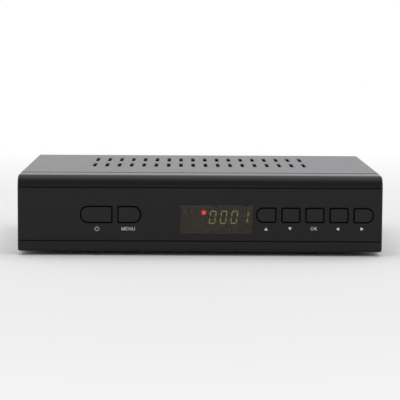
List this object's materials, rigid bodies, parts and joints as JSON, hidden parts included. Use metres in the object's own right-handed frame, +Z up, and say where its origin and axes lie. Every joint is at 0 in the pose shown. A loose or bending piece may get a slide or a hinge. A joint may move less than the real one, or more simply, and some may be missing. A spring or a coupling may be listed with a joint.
{
  "type": "satellite television receiver",
  "caption": "Low set-top receiver box: folded steel cover and tray, moulded front with push keys, window and digits, boards inside, and rear aerial, audio, picture, data and supply sockets.",
  "frame": {"origin": "centre of the bounding box's underside, on the table", "axes": "+X right as seen from the front, the front faces -Y, +Z up"},
  "size_m": [0.22, 0.1656, 0.0487],
  "materials": {
    "case_black": "satin moulded plastic",
    "key_black": "satin moulded plastic",
    "window_smoke": "clear polished, smoke-tinted",
    "cover_grey": "satin grey paint",
    "zinc_steel": "zinc-plated sheet",
    "screw_steel": "zinc-plated",
    "standoff_brass": "turned",
    "foot_rubber": "matte",
    "board_green": "solder-masked laminate",
    "board_tan": "paper laminate",
    "chip_black": "moulded epoxy",
    "sink_aluminium": "extruded",
    "capacitor_can": "sleeved can",
    "coil_ferrite": "matte",
    "crystal_steel": "drawn can",
    "header_white": "moulded",
    "ribbon_grey": "ribbed flat cable",
    "tuner_tin": "tinned sheet",
    "plated_brass": "nickel-plated",
    "barrel_tin": "tinned, rolled barrel",
    "phono_white": "moulded",
    "phono_red": "moulded",
    "phono_orange": "moulded",
    "socket_black": "moulded",
    "contact_gold": "gold-flashed",
    "shell_steel": "nickel-plated sheet",
    "tongue_white": "moulded",
    "switch_black": "moulded",
    "rocker_black": "polished moulding",
    "lead_black": "insulated wire",
    "tact_grey": "moulded",
    "plunger_brown": "moulded",
    "module_dark": "moulded",
    "digit_green": "lit",
    "lamp_red": "tinted clear epoxy",
    "eye_dark": "dark tinted epoxy"
  },
  "bodies": {
    "receiver": {"aerial_sockets": "plated_brass", "board_chips": "chip_black", "board_screws": "screw_steel", "board_standoffs": "standoff_brass", "capacitors": "capacitor_can", "chassis_tray": "zinc_steel", "coils": "coil_ferrite", "cover_screws": "screw_steel", "crystal": "crystal_steel", "data_socket_insert": "tongue_white", "data_socket_shell": "shell_steel", "display_digits": "digit_green", "display_module": "module_dark", "display_window": "window_smoke", "foot_front_left": "foot_rubber", "foot_front_right": "foot_rubber", "foot_rear_left": "foot_rubber", "foot_rear_right": "foot_rubber", "front_bezel": "case_black", "front_board": "board_tan", "front_board_screws": "screw_steel", "heat_sink": "sink_aluminium", "main_board": "board_green", "phono_barrels": "barrel_tin", "phono_block": "socket_black", "phono_orange_insert": "phono_orange", "phono_red_insert": "phono_red", "phono_white_insert": "phono_white", "picture_socket_insert": "socket_black", "picture_socket_shell": "shell_steel", "remote_eye": "eye_dark", "ribbon_cable": "ribbon_grey", "ribbon_headers": "header_white", "scart_contacts": "contact_gold", "scart_screws": "screw_steel", "scart_socket": "socket_black", "socket_nuts": "plated_brass", "status_lamp": "lamp_red", "supply_pin": "contact_gold", "supply_socket": "socket_black", "switch_frame": "switch_black", "switch_leads": "lead_black", "tact_switches": "tact_grey", "top_cover": "cover_grey", "tuner_can": "tuner_tin"},
    "power_key": {"power_button": "key_black", "power_switch_plunger": "plunger_brown"},
    "menu_key": {"menu_button": "key_black", "menu_switch_plunger": "plunger_brown"},
    "up_key": {"up_button": "key_black", "up_switch_plunger": "plunger_brown"},
    "down_key": {"down_button": "key_black", "down_switch_plunger": "plunger_brown"},
    "ok_key": {"ok_button": "key_black", "ok_switch_plunger": "plunger_brown"},
    "left_key": {"left_button": "key_black", "left_switch_plunger": "plunger_brown"},
    "right_key": {"right_button": "key_black", "right_switch_plunger": "plunger_brown"},
    "rocker": {"switch_rocker": "rocker_black"}
  },
  "joints": [
    {"name": "power_key_press", "type": "slide", "parent": "receiver", "child": "power_key", "axis": [0, 1, 0], "range_m": [0, 0.0003], "stiffness_N_per_m": 2000, "springref_m": -0.0005},
    {"name": "menu_key_press", "type": "slide", "parent": "receiver", "child": "menu_key", "axis": [0, 1, 0], "range_m": [0, 0.0003], "stiffness_N_per_m": 2000, "springref_m": -0.0005},
    {"name": "up_key_press", "type": "slide", "parent": "receiver", "child": "up_key", "axis": [0, 1, 0], "range_m": [0, 0.0003], "stiffness_N_per_m": 2000, "springref_m": -0.0005},
    {"name": "down_key_press", "type": "slide", "parent": "receiver", "child": "down_key", "axis": [0, 1, 0], "range_m": [0, 0.0003], "stiffness_N_per_m": 2000, "springref_m": -0.0005},
    {"name": "ok_key_press", "type": "slide", "parent": "receiver", "child": "ok_key", "axis": [0, 1, 0], "range_m": [0, 0.0003], "stiffness_N_per_m": 2000, "springref_m": -0.0005},
    {"name": "left_key_press", "type": "slide", "parent": "receiver", "child": "left_key", "axis": [0, 1, 0], "range_m": [0, 0.0003], "stiffness_N_per_m": 2000, "springref_m": -0.0005},
    {"name": "right_key_press", "type": "slide", "parent": "receiver", "child": "right_key", "axis": [0, 1, 0], "range_m": [0, 0.0003], "stiffness_N_per_m": 2000, "springref_m": -0.0005},
    {"name": "rocker_tilt", "type": "hinge", "parent": "receiver", "child": "rocker", "pos_m": [-0.09732, 0.0703, 0.0221], "axis": [1, 0, 0], "range_deg": [-20, 0]}
  ]
}
